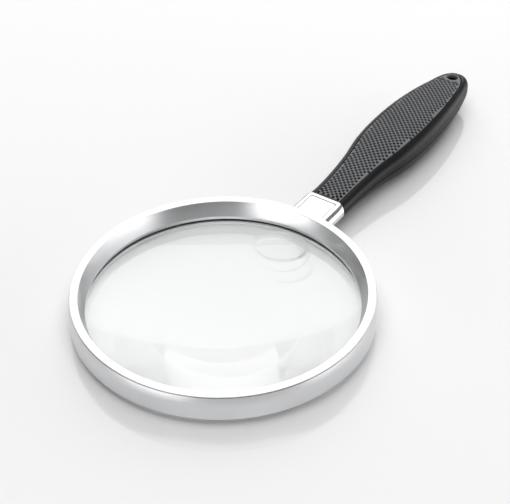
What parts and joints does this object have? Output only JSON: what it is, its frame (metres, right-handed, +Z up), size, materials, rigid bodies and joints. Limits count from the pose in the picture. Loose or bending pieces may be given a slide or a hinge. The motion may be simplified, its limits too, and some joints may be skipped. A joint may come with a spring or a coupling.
{
  "type": "reading magnifier",
  "caption": "Round hand-held reading lens in a silver frame, with a small stronger segment in the lens and a black handle with dimpled grips and a hanging hole.",
  "frame": {"origin": "on the lowest level of the part, under the middle of its overall length and width", "axes": "+X from the lens to the tip of the handle, +Y across, +Z up along the lens axis, out of the bezel's flat top"},
  "size_m": [0.2552, 0.12, 0.0181],
  "materials": {
    "bezel_silver": "satin, turned",
    "neck_silver": "satin",
    "clear_lens": "polished, clear",
    "seal_black": "matte",
    "inner_steel": "plain",
    "shell_black": "satin",
    "grip_rubber": "matte, dimpled"
  },
  "bodies": {
    "root": {"lens_frame": "bezel_silver", "lens_retaining_ring": "bezel_silver", "main_lens": "clear_lens", "upper_lens_gasket": "seal_black", "lower_lens_gasket": "seal_black", "neck_collar": "neck_silver", "neck_cover_plate": "neck_silver", "neck_screw_front": "inner_steel", "neck_screw_rear": "inner_steel", "handle_tang": "inner_steel", "handle_screw_front": "inner_steel", "handle_screw_rear": "inner_steel", "handle_upper_shell": "shell_black", "handle_lower_shell": "shell_black", "upper_grip_panel": "grip_rubber", "lower_grip_panel": "grip_rubber"}
  },
  "joints": []
}
